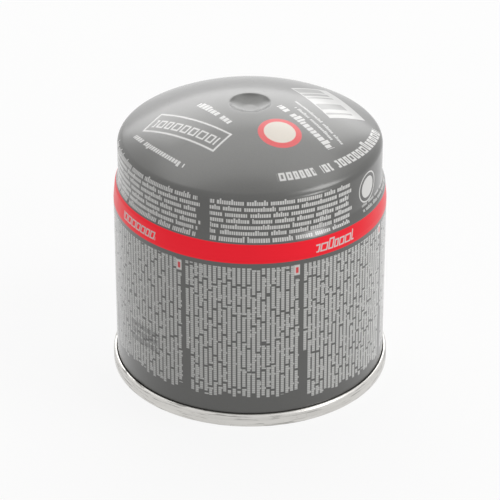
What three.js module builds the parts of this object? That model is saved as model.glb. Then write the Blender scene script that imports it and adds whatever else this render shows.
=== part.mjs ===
import * as THREE from 'three';
import { mergeVertices, toCreasedNormals } from 'three/addons/utils/BufferGeometryUtils.js';

// Pierceable gas canister, sealed for life: a deep-drawn steel shell with a domed top,
// closed below by an end panel that is rolled on in a double seam.
// Millimetres, standing on the seam with +Z up and the axis at the origin.
// Azimuth runs round the axis from the front, -Y, towards the right, +X.

// Lower wall, measured outside, from the top of the seam up to the first bend
const wallRadius = 44.0;
const wallHeight = 56.4;

// The wall narrows in a slight taper and then a short step, under the upper wall
const taperHeight = 5.0;
const taperDepth = 0.5;
const stepHeight = 2.5;
const stepDepth = 1.1;
const bendFillet = 2.2;
const upperWallHeight = 11.3;

// Domed top: a tight shoulder, an easier turn, then a crown that is part of a sphere
const shoulderRadius = 2.5;
const shoulderTurn = 42.0;
const easeRadius = 6.0;
const crownEdgeSlope = 30.6;

// Dimple in the middle of the top, where a burner's spike goes in: a round bowl with a small flat floor
const dimpleRadius = 6.8;
const dimpleDepth = 1.9;
const dimpleFloorRadius = 2.2;
const dimpleRimFillet = 0.5;

// Double seam: a rolled ring that stands out from the wall and is the canister's foot
const seamHeight = 4.4;
const seamOverhang = 1.2;
const seamThickness = 1.7;
const seamFootFillet = 0.5;
const seamTopFillet = 0.8;
const creviceWidth = 0.2;
const creviceDepth = 0.4;

// End panel, recessed inside the seam and dished inwards against the gas pressure
const panelRecess = 5.0;
const chuckWallDraft = 0.5;
const countersinkFillet = 1.2;
const panelRimWidth = 3.5;
const panelDish = 3.2;

// Print: seven columns of small print below the band, a band, and blocks above it
const columnCount = 7;
const facetsPerColumn = 12;
const firstGapFacet = 4;
const columnMarginBelow = 6.5;
const columnMarginAbove = 1.6;
const bandBelowBend = 1.3;
const blocks = [[-86, -21], [-17, 48], [53, 87], [96, 172], [180, 262]];

// Print on the crown: a round sign placed by x and y seen from above,
// then a label and large words placed by radius and azimuth
const signCentre = new THREE.Vector2(9.3, -16.4);
const signRadius = 7.4;
const signDiscRadius = 5.1;
const labelRadius = 27.9;
const labelWidth = 12.0;
const labelSpan = [95, 145];
const rimWordsRadius = 36.0;
const rimWordsHeight = 4.2;
const rimWordsSpans = [[14, 34], [38, 47], [51, 93]];

// Facets round the axis and along the curved stretches of the outline
const facets = columnCount * facetsPerColumn;
const shoulderRings = 3;
const easeRings = 2;
const widestCrownFacet = 3.4;
const closestCrownRings = 0.3;
const dishRings = 4;
const bowlRings = 4;
const largestTurnPerFacet = 23.0;
const filletShareOfEdge = 0.48;
const creaseAngle = 35.0;

const radians = THREE.MathUtils.degToRad;

// Heights and radii that follow from the sizes above
const firstBend = seamHeight + wallHeight;
const secondBend = firstBend + taperHeight;
const stepTop = secondBend + stepHeight;
const shoulderBase = stepTop + upperWallHeight;
const shoulderTop = shoulderBase + shoulderRadius * Math.sin( radians( shoulderTurn ) );
const taperTopRadius = wallRadius - taperDepth;
const upperRadius = taperTopRadius - stepDepth;
const seamRadius = wallRadius + seamOverhang;
const seamInnerRadius = seamRadius - seamThickness;
const panelRadius = seamInnerRadius - chuckWallDraft;

function ring( radius, height, fillet = 0 ) {

	return { point: new THREE.Vector2( radius, height ), fillet };

}

// Rings along an arc whose outward normal climbs from one angle to another
function arcRings( centreRadius, centreHeight, radius, fromAngle, toAngle, count ) {

	const rings = [];

	for ( let i = 1; i <= count; i ++ ) {

		const angle = THREE.MathUtils.lerp( fromAngle, toAngle, i / count );
		rings.push( ring( centreRadius + radius * Math.cos( angle ), centreHeight + radius * Math.sin( angle ) ) );

	}

	return rings;

}

// Recessed end panel, from the axis out to the chuck wall
function endPanelRings() {

	const dishRadius = panelRadius - panelRimWidth;
	const sphere = ( dishRadius ** 2 + panelDish ** 2 ) / ( 2 * panelDish );
	const edge = Math.asin( dishRadius / sphere );
	const rings = [ ring( 0, panelRecess + panelDish ) ];

	for ( let i = 1; i <= dishRings; i ++ ) {

		const slope = edge * i / dishRings;
		const drop = sphere * ( 1 - Math.cos( slope ) );
		rings.push( ring( sphere * Math.sin( slope ), panelRecess + panelDish - drop ) );

	}

	rings.push( ring( panelRadius, panelRecess, countersinkFillet ) );
	return rings;

}

// Double seam: flat foot, outer face, rounded top and the crevice where the wall comes out of it
function seamRings() {

	return [
		ring( seamInnerRadius, 0, seamFootFillet ),
		ring( seamRadius, 0, seamFootFillet ),
		ring( seamRadius, seamHeight, seamTopFillet ),
		ring( wallRadius + creviceWidth, seamHeight ),
		ring( wallRadius, seamHeight - creviceDepth ),
	];

}

// Drawn wall, with a ring at each edge of the print
function wallRings() {

	return [
		ring( wallRadius, seamHeight + columnMarginBelow ),
		ring( wallRadius, firstBend - bandBelowBend - columnMarginAbove ),
		ring( wallRadius, firstBend - bandBelowBend ),
		ring( wallRadius, firstBend, bendFillet ),
		ring( taperTopRadius, secondBend, bendFillet ),
		ring( upperRadius, stepTop, bendFillet ),
		ring( upperRadius, shoulderBase ),
	];

}

// Radii where a printed field of the crown begins or ends
function crownPrintEdges() {

	const toSign = signCentre.length();

	return [
		toSign - signRadius, toSign - signDiscRadius, toSign + signDiscRadius, toSign + signRadius,
		labelRadius - labelWidth / 2, labelRadius + labelWidth / 2,
		rimWordsRadius - rimWordsHeight / 2, rimWordsRadius + rimWordsHeight / 2,
	];

}

// Crown from its edge in to the dimple's rim, with a ring at each edge of its print
function crownRings( crownRadius, centreHeight, edgeRadius ) {

	const angleAt = ( radius ) => Math.acos( radius / crownRadius );
	const inside = [ dimpleRadius + closestCrownRings, edgeRadius ];
	const edges = crownPrintEdges().filter( ( radius ) => between( radius, inside ) );
	const stops = [ ...edges, dimpleRadius ].sort( ( a, b ) => b - a );
	const rings = [];
	let reached = edgeRadius;

	for ( const radius of stops ) {

		if ( reached - radius < closestCrownRings ) continue;
		const count = Math.ceil( ( reached - radius ) / widestCrownFacet );
		rings.push( ...arcRings( 0, centreHeight, crownRadius, angleAt( reached ), angleAt( radius ), count ) );
		reached = radius;

	}

	return rings;

}

// Shoulder and crown, which meet without a crease
function topRings() {

	const turn = radians( shoulderTurn );
	const edge = radians( 90 - crownEdgeSlope );
	const shoulderCentre = upperRadius - shoulderRadius;
	const shoulder = arcRings( shoulderCentre, shoulderBase, shoulderRadius, 0, turn, shoulderRings );
	const easeCentreRadius = shoulderCentre + ( shoulderRadius - easeRadius ) * Math.cos( turn );
	const easeCentreHeight = shoulderBase + ( shoulderRadius - easeRadius ) * Math.sin( turn );
	const ease = arcRings( easeCentreRadius, easeCentreHeight, easeRadius, turn, edge, easeRings );

	const crownEdge = ease.at( - 1 ).point;
	const crownRadius = crownEdge.x / Math.cos( edge );
	const crownCentre = crownEdge.y - crownRadius * Math.sin( edge );
	const crown = crownRings( crownRadius, crownCentre, crownEdge.x );
	crown.at( - 1 ).fillet = dimpleRimFillet;

	return [ ...shoulder, ...ease, ...crown ];

}

// Dimple: part of a sphere centred above it, from its rim down to the edge of its flat floor
function dimpleRings( rimHeight ) {

	const floorHeight = rimHeight - dimpleDepth;
	const reach = dimpleRadius ** 2 - dimpleFloorRadius ** 2 - dimpleDepth ** 2;
	const centreAboveRim = reach / ( 2 * dimpleDepth );
	const bowlRadius = Math.hypot( dimpleRadius, centreAboveRim );
	const rimAngle = - Math.acos( dimpleRadius / bowlRadius );
	const floorAngle = - Math.acos( dimpleFloorRadius / bowlRadius );
	const bowl = arcRings( 0, rimHeight + centreAboveRim, bowlRadius, rimAngle, floorAngle, bowlRings );
	return [ ...bowl, ring( 0, floorHeight ) ];

}

// Turns a ring that has a fillet into an arc between its neighbours, limited by their distance
function roundedOutline( rings ) {

	const outline = [];

	rings.forEach( ( { point, fillet }, i ) => {

		if ( fillet === 0 ) {

			outline.push( point );
			return;

		}

		const back = rings[ i - 1 ].point.clone().sub( point );
		const ahead = rings[ i + 1 ].point.clone().sub( point );
		const room = filletShareOfEdge * Math.min( back.length(), ahead.length() );
		back.normalize();
		ahead.normalize();
		const halfAngle = Math.acos( THREE.MathUtils.clamp( back.dot( ahead ), - 1, 1 ) ) / 2;
		const reach = Math.min( fillet / Math.tan( halfAngle ), room );
		const radius = reach * Math.tan( halfAngle );
		const centre = back.clone().add( ahead ).setLength( radius / Math.sin( halfAngle ) ).add( point );
		const start = back.multiplyScalar( reach ).add( point ).sub( centre );
		const end = ahead.multiplyScalar( reach ).add( point ).sub( centre );
		const turn = Math.atan2( start.cross( end ), start.dot( end ) );
		const steps = Math.max( 2, Math.ceil( Math.abs( turn ) / radians( largestTurnPerFacet ) ) );

		for ( let step = 0; step <= steps; step ++ ) {

			const spoke = start.clone().rotateAround( new THREE.Vector2(), turn * step / steps );
			outline.push( spoke.add( centre ) );

		}

	} );

	return outline;

}

function canisterOutline() {

	const top = topRings();
	const rimHeight = top.at( - 1 ).point.y;
	return roundedOutline( [
		...endPanelRings(), ...seamRings(), ...wallRings(), ...top, ...dimpleRings( rimHeight ),
	] );

}

// Colours of the bare tinplate, the lacquer and the print
const finishes = {
	lacquer: { color: 0x6b6b69, roughness: 0.38, metalness: 0.35 },
	smallPrint: { color: 0x91918f, roughness: 0.42, metalness: 0.25 },
	band: { color: 0xe01f2e, roughness: 0.35, metalness: 0.2 },
	whiteInk: { color: 0xf2f0ea, roughness: 0.45, metalness: 0.0 },
	tinplate: { color: 0xc9c7c3, roughness: 0.3, metalness: 1.0 },
};
const finishNames = Object.keys( finishes );

function between( value, [ low, high ] ) {

	return value > low && value < high;

}

function columnFinish( azimuth ) {

	const facet = Math.floor( azimuth / 360 * facets );
	const gap = THREE.MathUtils.euclideanModulo( facet - firstGapFacet, facetsPerColumn ) === 0;
	return gap ? 'lacquer' : 'smallPrint';

}

function blockFinish( azimuth ) {

	return blocks.some( ( span ) => between( azimuth, span ) ) ? 'smallPrint' : 'lacquer';

}

function crownFinish( place, azimuth ) {

	const toSign = place.distanceTo( signCentre );
	const onLabel = Math.abs( place.length() - labelRadius ) < labelWidth / 2;
	const onRim = Math.abs( place.length() - rimWordsRadius ) < rimWordsHeight / 2;

	if ( toSign < signDiscRadius ) return 'whiteInk';
	if ( toSign < signRadius ) return 'band';
	if ( onLabel && between( azimuth, labelSpan ) ) return 'whiteInk';
	if ( onRim && rimWordsSpans.some( ( span ) => between( azimuth, span ) ) ) return 'whiteInk';
	return 'lacquer';

}

// Finish of the surface at a point of the outside
function finishAt( point ) {

	const place = new THREE.Vector2( point.x, point.y );
	const azimuth = THREE.MathUtils.radToDeg( Math.atan2( place.x, - place.y ) );
	const bandLow = firstBend - bandBelowBend;
	const columns = [ seamHeight + columnMarginBelow, bandLow - columnMarginAbove ];
	const underneath = place.length() < seamInnerRadius && point.z < panelRecess + panelDish;

	if ( underneath || point.z < seamHeight && place.length() > wallRadius ) return 'tinplate';
	if ( between( point.z, columns ) ) return columnFinish( azimuth );
	if ( between( point.z, [ bandLow, secondBend ] ) ) return 'band';
	if ( between( point.z, [ secondBend, shoulderTop ] ) ) {

		return blockFinish( azimuth < blocks[ 0 ][ 0 ] ? azimuth + 360 : azimuth );

	}

	if ( point.z > shoulderTop ) return crownFinish( place, azimuth );
	return 'lacquer';

}

// Groups the facets by finish, so that one closed surface carries all the materials,
// and leaves out the empty ones where the turned rings shrink to a point on the axis
function paint( surface ) {

	const corners = surface.getAttribute( 'position' );
	const index = surface.getIndex();
	const facetsByFinish = new Map( finishNames.map( ( name ) => [ name, [] ] ) );
	const centre = new THREE.Vector3();
	const corner = new THREE.Vector3();

	for ( let i = 0; i < index.count; i += 3 ) {

		const facet = [ index.getX( i ), index.getX( i + 1 ), index.getX( i + 2 ) ];
		if ( new Set( facet ).size < 3 ) continue;
		centre.set( 0, 0, 0 );
		facet.forEach( ( vertex ) => centre.add( corner.fromBufferAttribute( corners, vertex ) ) );
		facetsByFinish.get( finishAt( centre.divideScalar( 3 ) ) ).push( ...facet );

	}

	surface.setIndex( finishNames.flatMap( ( name ) => facetsByFinish.get( name ) ) );
	let start = 0;

	finishNames.forEach( ( name, material ) => {

		surface.addGroup( start, facetsByFinish.get( name ).length, material );
		start += facetsByFinish.get( name ).length;

	} );

}

function makeCanister() {

	const turned = new THREE.LatheGeometry( canisterOutline(), facets );
	turned.rotateX( Math.PI / 2 );
	turned.deleteAttribute( 'normal' );
	turned.deleteAttribute( 'uv' );
	const surface = mergeVertices( turned, 1e-4 );
	paint( surface );

	const materials = finishNames.map( ( name ) => {

		const material = new THREE.MeshStandardMaterial( finishes[ name ] );
		material.name = name;
		return material;

	} );

	const canister = new THREE.Mesh( toCreasedNormals( surface, radians( creaseAngle ) ), materials );
	canister.name = 'fuel_canister';
	return canister;

}

const group = new THREE.Group();
group.add( makeCanister() );

export default group;
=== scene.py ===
"""Fuel canister: the looks of a sealed, pierceable gas can, built round its packed solid."""

import math

import bmesh
import bpy
from mathutils import Matrix, Vector


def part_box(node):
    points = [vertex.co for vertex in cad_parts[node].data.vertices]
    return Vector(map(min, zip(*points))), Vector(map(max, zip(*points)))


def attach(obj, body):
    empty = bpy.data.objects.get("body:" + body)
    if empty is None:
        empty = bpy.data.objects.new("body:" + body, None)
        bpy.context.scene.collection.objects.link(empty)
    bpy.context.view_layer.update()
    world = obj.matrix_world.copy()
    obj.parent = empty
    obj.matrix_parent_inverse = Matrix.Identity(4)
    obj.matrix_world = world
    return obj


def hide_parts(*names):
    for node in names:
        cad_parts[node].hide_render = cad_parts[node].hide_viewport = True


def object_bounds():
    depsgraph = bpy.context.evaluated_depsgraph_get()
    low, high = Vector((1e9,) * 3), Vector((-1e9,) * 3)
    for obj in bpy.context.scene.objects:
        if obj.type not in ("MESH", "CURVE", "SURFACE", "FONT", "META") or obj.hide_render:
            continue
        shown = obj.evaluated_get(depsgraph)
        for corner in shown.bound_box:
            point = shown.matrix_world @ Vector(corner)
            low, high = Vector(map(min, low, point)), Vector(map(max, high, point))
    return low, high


bl_info = {
    "name": "Fuel canister",
    "version": (1, 0, 0),
    "blender": (4, 5, 0),
    "location": "View3D > Sidebar > Canister",
    "description": "Drawn shell with its print, rolled end, sealing compound and a plain studio",
    "category": "Object",
}

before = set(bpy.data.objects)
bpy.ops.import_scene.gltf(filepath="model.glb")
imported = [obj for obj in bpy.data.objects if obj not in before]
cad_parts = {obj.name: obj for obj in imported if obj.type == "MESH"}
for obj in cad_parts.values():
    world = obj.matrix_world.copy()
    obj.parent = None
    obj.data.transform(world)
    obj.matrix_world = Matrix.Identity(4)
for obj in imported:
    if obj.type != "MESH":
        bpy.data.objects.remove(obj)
CAD_LOW, CAD_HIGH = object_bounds()
NODE = "fuel_canister"
NODE_LOW, NODE_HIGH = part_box(NODE)
BODY = "root"
MM = 0.001
MERGE_DISTANCE = 0.001 * MM
BEAD_SHARE = 0.75


# Sizes that a user would change


def length(name, description, default):
    return bpy.props.FloatProperty(
        name=name, description=description, default=default, unit="LENGTH", precision=5
    )


def angle(name, description, degrees):
    return bpy.props.FloatProperty(
        name=name, description=description, default=math.radians(degrees), subtype="ANGLE"
    )


def count(name, description, default):
    return bpy.props.IntProperty(name=name, description=description, default=default, min=1)


def colour(name, description, hex_value):
    return bpy.props.FloatVectorProperty(
        name=name,
        description=description,
        default=linear(hex_value),
        subtype="COLOR",
        min=0.0,
        max=1.0,
    )


def linear(hex_value):
    """Turns a colour written as 0xRRGGBB into the linear numbers that Blender takes."""
    channels = ((hex_value >> shift & 0xFF) / 255 for shift in (16, 8, 0))
    return tuple(
        c / 12.92 if c <= 0.04045 else ((c + 0.055) / 1.055) ** 2.4 for c in channels
    )


class ShellSizes(bpy.types.PropertyGroup):
    """The drawn shell, from the seam up to the dimple."""

    wall_radius: length("Wall radius", "Outside of the lower wall", NODE_HIGH.x - 1.2 * MM)
    wall_top: length("Wall top", "Height of the first bend", 60.8 * MM)
    taper_height: length("Taper height", "From the first bend to the second", 5.0 * MM)
    taper_depth: length("Taper depth", "How far the taper narrows the wall", 0.5 * MM)
    step_height: length("Step height", "From the second bend to the upper wall", 2.5 * MM)
    step_depth: length("Step depth", "How far the step narrows the wall", 1.1 * MM)
    bend_fillet: length("Bend fillet", "Rounding of the wall's bends", 2.2 * MM)
    upper_height: length("Upper wall height", "From the step to the shoulder", 11.3 * MM)
    shoulder_radius: length("Shoulder radius", "The tight turn at the wall's top", 2.5 * MM)
    shoulder_turn: angle("Shoulder turn", "How far the tight turn goes", 42.0)
    ease_radius: length("Ease radius", "The wider turn that leads into the crown", 6.0 * MM)
    crown_slope: angle("Crown slope", "Slope of the crown at its edge", 30.6)
    dimple_radius: length("Dimple radius", "Rim of the dimple", 6.8 * MM)
    dimple_depth: length("Dimple depth", "From the rim to the floor", 1.9 * MM)
    dimple_floor: length("Dimple floor radius", "Flat middle of the dimple", 2.2 * MM)
    dimple_fillet: length("Dimple fillet", "Rounding of the dimple's rim", 0.8 * MM)
    floor_fillet: length("Floor fillet", "Rounding round the dimple's floor", 3.5 * MM)
    tuck: length("Tuck", "Height of the wall's lower edge, out of sight in the seam", 1.2 * MM)
    fit: length("Fit", "Most that the top may miss the packed part's top", 0.1 * MM)


class EndSizes(bpy.types.PropertyGroup):
    """The end panel, whose edge is rolled into the seam."""

    seam_radius: length("Seam radius", "Outside of the seam", NODE_HIGH.x)
    seam_height: length("Seam height", "From the foot to the seam's top", 4.4 * MM)
    seam_thickness: length("Seam thickness", "Across the seam's foot", 1.7 * MM)
    foot_fillet: length("Foot fillet", "Rounding of the foot's edges", 0.5 * MM)
    top_fillet: length("Top fillet", "Rounding of the seam's upper edge", 0.8 * MM)
    lip_fillet: length("Lip fillet", "Rounding of the lip beside the wall", 0.16 * MM)
    crevice_width: length("Crevice width", "Between the wall and the seam's lip", 0.26 * MM)
    crevice_depth: length("Crevice depth", "From the seam's top to the compound", 0.55 * MM)
    panel_recess: length("Panel recess", "From the foot up to the panel's edge", 5.0 * MM)
    chuck_draft: length("Chuck wall draft", "How far the chuck wall leans in", 0.5 * MM)
    countersink_fillet: length("Countersink fillet", "Rounding of the panel's edge", 1.2 * MM)
    rim_width: length("Panel rim width", "Flat rim round the dished middle", 3.5 * MM)
    rim_fillet: length("Panel rim fillet", "Rounding between the rim and the dish", 6.0 * MM)
    panel_dish: length("Panel dish", "How far the middle is dished inwards", 3.2 * MM)
    sheet: length("Sheet thickness", "Thickness of the tinplate", 0.3 * MM)


class MeshDetail(bpy.types.PropertyGroup):
    """How finely the turned pieces are divided."""

    around: count("Around", "Facets round the axis", 224)
    crown: count("Crown", "Facets along the crown", 26)
    turn: count("Turn", "Facets along each turn of the shoulder", 7)
    bowl: count("Bowl", "Facets along the dimple's bowl", 9)
    dish: count("Dish", "Facets along the dished panel", 14)
    corner: count("Corner", "Facets in a rounded corner", 5)
    bead: count("Bead", "Facets round the compound's bead", 8)


class Finishes(bpy.types.PropertyGroup):
    """Colours of the lacquer, the inks and the bare metal."""

    lacquer: colour("Lacquer", "Grey lacquer of the shell", 0x555553)
    band: colour("Band", "Red ink of the band", 0xF0152A)
    sign: colour("Sign", "Red ink of the sign and the tags", 0xE00618)
    white: colour("White ink", "Large marks, label and sign", 0xDAD9D7)
    pale: colour("Pale ink", "Small print", 0xC6C6C4)
    cream: colour("Cream ink", "Disc of the sign", 0xE0D7CA)
    code: colour("Code ink", "Blocks printed by the filling line", 0x2E2D2C)
    tinplate: colour("Tinplate", "Bare metal of the rolled end", 0xD7D5D1)
    # The compound's dark colour is partly painted shade, for the shadow in the crevice above the
    # seam.
    compound: colour("Compound", "Sealing compound in the seam", 0x23211F)
    floor: colour("Floor", "Studio floor", 0xF4F4F3)


# Turned pieces


class Outline:
    """Half of a turned piece's outline, drawn in the XZ plane, then turned once round Z."""

    def __init__(self, radius, height):
        self.mesh = bmesh.new()
        self.tip = self.mesh.verts.new((radius, 0.0, height))
        self.corners = []

    def line_to(self, radius, height, fillet=0.0):
        """Draws a straight run to a corner that is rounded later."""
        grown = bmesh.ops.extrude_vert_indiv(self.mesh, verts=[self.tip])["verts"]
        self.tip = grown[0]
        bmesh.ops.translate(
            self.mesh, verts=grown, vec=Vector((radius, 0.0, height)) - self.tip.co
        )
        if fillet:
            self.corners.append((self.tip, fillet))

    def arc(self, centre_radius, centre_height, turn, steps):
        """Turns the tip about a centre: a positive turn leads from the top outwards and down."""
        made = bmesh.ops.spin(
            self.mesh,
            geom=[self.tip],
            cent=(centre_radius, 0.0, centre_height),
            axis=(0.0, 1.0, 0.0),
            angle=turn,
            steps=steps,
        )
        self.tip = made["geom_last"][0]

    def round_here(self, fillet):
        self.corners.append((self.tip, fillet))

    def round_corners(self, segments):
        for corner, fillet in self.corners:
            back, ahead = (e.other_vert(corner).co - corner.co for e in corner.link_edges)
            reach = fillet * math.tan((math.pi - back.angle(ahead)) / 2)
            bmesh.ops.bevel(
                self.mesh,
                geom=[corner],
                offset=reach,
                offset_type="OFFSET",
                segments=segments,
                profile=0.5,
                affect="VERTICES",
                material=-1,
            )

    def turned(self, name, detail):
        """Turns the finished outline once round the axis and returns the piece."""
        self.round_corners(detail.corner)
        turn_round(self.mesh, detail.around)
        return piece_from(self.mesh, name)


def turn_round(mesh, steps):
    bmesh.ops.spin(
        mesh,
        geom=mesh.verts[:] + mesh.edges[:],
        cent=(0.0, 0.0, 0.0),
        axis=(0.0, 0.0, 1.0),
        angle=math.tau,
        steps=steps,
        use_merge=True,
    )
    bmesh.ops.remove_doubles(mesh, verts=mesh.verts, dist=MERGE_DISTANCE)
    bmesh.ops.recalc_face_normals(mesh, faces=mesh.faces)


def piece_from(mesh, name):
    """Makes a smooth object of a finished bmesh and seats it on the packed body."""
    for face in mesh.faces:
        face.smooth = True
    data = bpy.data.meshes.new(name)
    mesh.to_mesh(data)
    mesh.free()
    piece = bpy.data.objects.new(name, data)
    bpy.context.scene.collection.objects.link(piece)
    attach(piece, BODY)
    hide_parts(NODE)
    return piece


def drawn_shell(shell, detail):
    """The lacquered shell: dimple, crown, shoulder, stepped wall."""
    upper_radius = shell.wall_radius - shell.taper_depth - shell.step_depth
    second_bend = shell.wall_top + shell.taper_height
    step_top = second_bend + shell.step_height
    shoulder_base = step_top + shell.upper_height

    tight = shell.shoulder_turn
    edge = math.pi / 2 - shell.crown_slope
    centre = upper_radius - shell.shoulder_radius
    ease_back = shell.shoulder_radius - shell.ease_radius
    ease_radius_at = centre + ease_back * math.cos(tight)
    ease_height_at = shoulder_base + ease_back * math.sin(tight)
    crown_edge_radius = ease_radius_at + shell.ease_radius * math.cos(edge)
    crown_edge_height = ease_height_at + shell.ease_radius * math.sin(edge)
    crown_radius = crown_edge_radius / math.cos(edge)
    crown_centre = crown_edge_height - crown_radius * math.sin(edge)
    rim = math.acos(shell.dimple_radius / crown_radius)
    rim_height = crown_centre + crown_radius * math.sin(rim)
    if abs(rim_height - NODE_HIGH.z) > shell.fit:
        raise RuntimeError(f"the shell's top is at {rim_height:.5f}, not {NODE_HIGH.z:.5f}")

    reach = shell.dimple_radius**2 - shell.dimple_floor**2 - shell.dimple_depth**2
    bowl_centre = reach / (2 * shell.dimple_depth)
    bowl_radius = math.hypot(shell.dimple_radius, bowl_centre)
    bowl_turn = math.asin(shell.dimple_radius / bowl_radius)
    bowl_turn -= math.asin(shell.dimple_floor / bowl_radius)

    outline = Outline(0.0, rim_height - shell.dimple_depth)
    outline.line_to(shell.dimple_floor, rim_height - shell.dimple_depth, shell.floor_fillet)
    outline.arc(0.0, rim_height + bowl_centre, -bowl_turn, detail.bowl)
    outline.round_here(shell.dimple_fillet)
    outline.arc(0.0, crown_centre, rim - edge, detail.crown)
    outline.arc(ease_radius_at, ease_height_at, edge - tight, detail.turn)
    outline.arc(centre, shoulder_base, tight, detail.turn)
    outline.line_to(upper_radius, step_top, shell.bend_fillet)
    outline.line_to(upper_radius + shell.step_depth, second_bend, shell.bend_fillet)
    outline.line_to(shell.wall_radius, shell.wall_top, shell.bend_fillet)
    outline.line_to(shell.wall_radius, shell.tuck)
    return outline.turned("drawn_shell", detail)


def rolled_end(end, detail):
    """The tinplate end: dished panel, countersink, chuck wall and the seam that is the foot."""
    seam_inside = end.seam_radius - end.seam_thickness
    panel_radius = seam_inside - end.chuck_draft
    dish_radius = panel_radius - end.rim_width
    sphere = (dish_radius**2 + end.panel_dish**2) / (2 * end.panel_dish)
    dish_turn = math.asin(dish_radius / sphere)
    dish_centre = end.panel_recess + end.panel_dish - sphere
    lip_radius = settings("shell").wall_radius + end.crevice_width
    crevice_floor = end.seam_height - end.crevice_depth

    outline = Outline(0.0, end.panel_recess + end.panel_dish)
    outline.arc(0.0, dish_centre, dish_turn, detail.dish)
    outline.round_here(end.rim_fillet)
    outline.line_to(panel_radius, end.panel_recess, end.countersink_fillet)
    outline.line_to(seam_inside, 0.0, end.foot_fillet)
    outline.line_to(end.seam_radius, 0.0, end.foot_fillet)
    outline.line_to(end.seam_radius, end.seam_height, end.top_fillet)
    outline.line_to(lip_radius, end.seam_height, end.lip_fillet)
    outline.line_to(lip_radius, crevice_floor)
    outline.line_to(panel_radius + end.sheet, crevice_floor)
    outline.line_to(panel_radius + end.sheet, end.panel_recess + end.sheet)
    outline.line_to(dish_radius, end.panel_recess + end.sheet)
    outline.arc(0.0, dish_centre + end.sheet, -dish_turn, detail.dish)
    return outline.turned("rolled_end", detail)


def compound_and_shade_bead(end, detail):
    """The bead of compound at the bottom of the crevice above the seam: a dark piece that is
    painted shade for the crevice as well as compound.
    """
    wall_radius = settings("shell").wall_radius
    # The bead's dark colour stands in for the shadow down in the crevice: painted shade as well as
    # compound.
    bead_radius = end.crevice_width * BEAD_SHARE
    mesh = bmesh.new()
    bmesh.ops.create_circle(mesh, cap_ends=False, segments=detail.bead, radius=bead_radius)
    bmesh.ops.rotate(
        mesh,
        verts=mesh.verts,
        cent=(0.0, 0.0, 0.0),
        matrix=Matrix.Rotation(math.pi / 2, 3, "X"),
    )
    bmesh.ops.translate(
        mesh,
        verts=mesh.verts,
        vec=(
            wall_radius + end.crevice_width / 2,
            0.0,
            end.seam_height - end.crevice_depth,
        ),
    )
    turn_round(mesh, detail.around)
    return piece_from(mesh, "compound_and_shade_bead")


# Node trees

# Softness of the masks' edges, and a stroke so thick that every block is solid

SOFT_EDGE = 0.06
DISC_EDGE = 0.08
COUNT_EDGE = 0.1
BROAD_EDGE = 0.2
SOLID_STROKE = 9.0


class Wiring:
    """Adds nodes to one tree and links them."""

    def __init__(self, tree):
        self.tree = tree

    def feed(self, socket, value):
        if isinstance(value, bpy.types.NodeSocket):
            self.tree.links.new(value, socket)
        else:
            socket.default_value = value

    def node(self, kind, values=None, **options):
        made = self.tree.nodes.new(kind)
        for name, value in options.items():
            setattr(made, name, value)
        for name, value in (values or {}).items():
            self.feed(made.inputs[name], value)
        return made

    def math(self, operation, *values):
        made = self.node("ShaderNodeMath", operation=operation)
        for socket, value in zip(made.inputs, values):
            self.feed(socket, value)
        return made.outputs[0]

    def product(self, first, *others):
        for other in others:
            first = self.math("MULTIPLY", first, other)
        return first

    def strongest(self, first, *others):
        for other in others:
            first = self.math("MAXIMUM", first, other)
        return first

    def over(self, mask, upper, lower):
        """Lays one colour over another where the mask is 1."""
        made = self.node("ShaderNodeMix", data_type="RGBA", blend_type="MIX")
        self.feed(made.inputs["Factor"], mask)
        self.feed(made.inputs[6], lower)
        self.feed(made.inputs[7], upper)
        return made.outputs[2]

    def blend(self, mask, upper, lower):
        """Lays one number over another where the mask is 1."""
        made = self.node("ShaderNodeMix", data_type="FLOAT")
        self.feed(made.inputs["Factor"], mask)
        self.feed(made.inputs[2], lower)
        self.feed(made.inputs[3], upper)
        return made.outputs[0]

    def step(self, value, low, high):
        """Climbs smoothly from 0 at low to 1 at high."""
        made = self.node("ShaderNodeMapRange", interpolation_type="SMOOTHSTEP")
        self.feed(made.inputs["Value"], value)
        self.feed(made.inputs["From Min"], low)
        self.feed(made.inputs["From Max"], high)
        return made.outputs["Result"]

    def ranged(self, value, low, high):
        """Spreads a value from 0 to 1 over a range."""
        values = {"Value": value, "To Min": low, "To Max": high}
        return self.node("ShaderNodeMapRange", values).outputs["Result"]

    def shaded(self, fixed_colour, shade):
        """Multiplies a colour by a shade that changes over the surface."""
        values = {"Fac": 1.0, "Color1": fixed_colour, "Color2": shade}
        made = self.node("ShaderNodeMixRGB", values, blend_type="MULTIPLY")
        return made.outputs["Color"]

    def bump(self, height, strength):
        values = {"Height": height, "Strength": strength, "Distance": BUMP_DISTANCE}
        return self.node("ShaderNodeBump", values).outputs["Normal"]

    def group(self, tree, **values):
        made = self.node("ShaderNodeGroup", node_tree=tree)
        for name, value in values.items():
            self.feed(made.inputs[name.replace("_", " ")], value)
        return made.outputs


def new_group(name, inputs, outputs):
    """Returns a shader node group, its wiring, what comes in and where the results go."""
    tree = bpy.data.node_groups.new(name, "ShaderNodeTree")
    for label, default in inputs.items():
        kind = "NodeSocketVector" if isinstance(default, tuple) else "NodeSocketFloat"
        tree.interface.new_socket(label, in_out="INPUT", socket_type=kind).default_value = default
    for label in outputs:
        tree.interface.new_socket(label, in_out="OUTPUT", socket_type="NodeSocketFloat")
    start = tree.nodes.new("NodeGroupInput")
    end = tree.nodes.new("NodeGroupOutput")
    return tree, Wiring(tree), start.outputs, end.inputs


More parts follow.
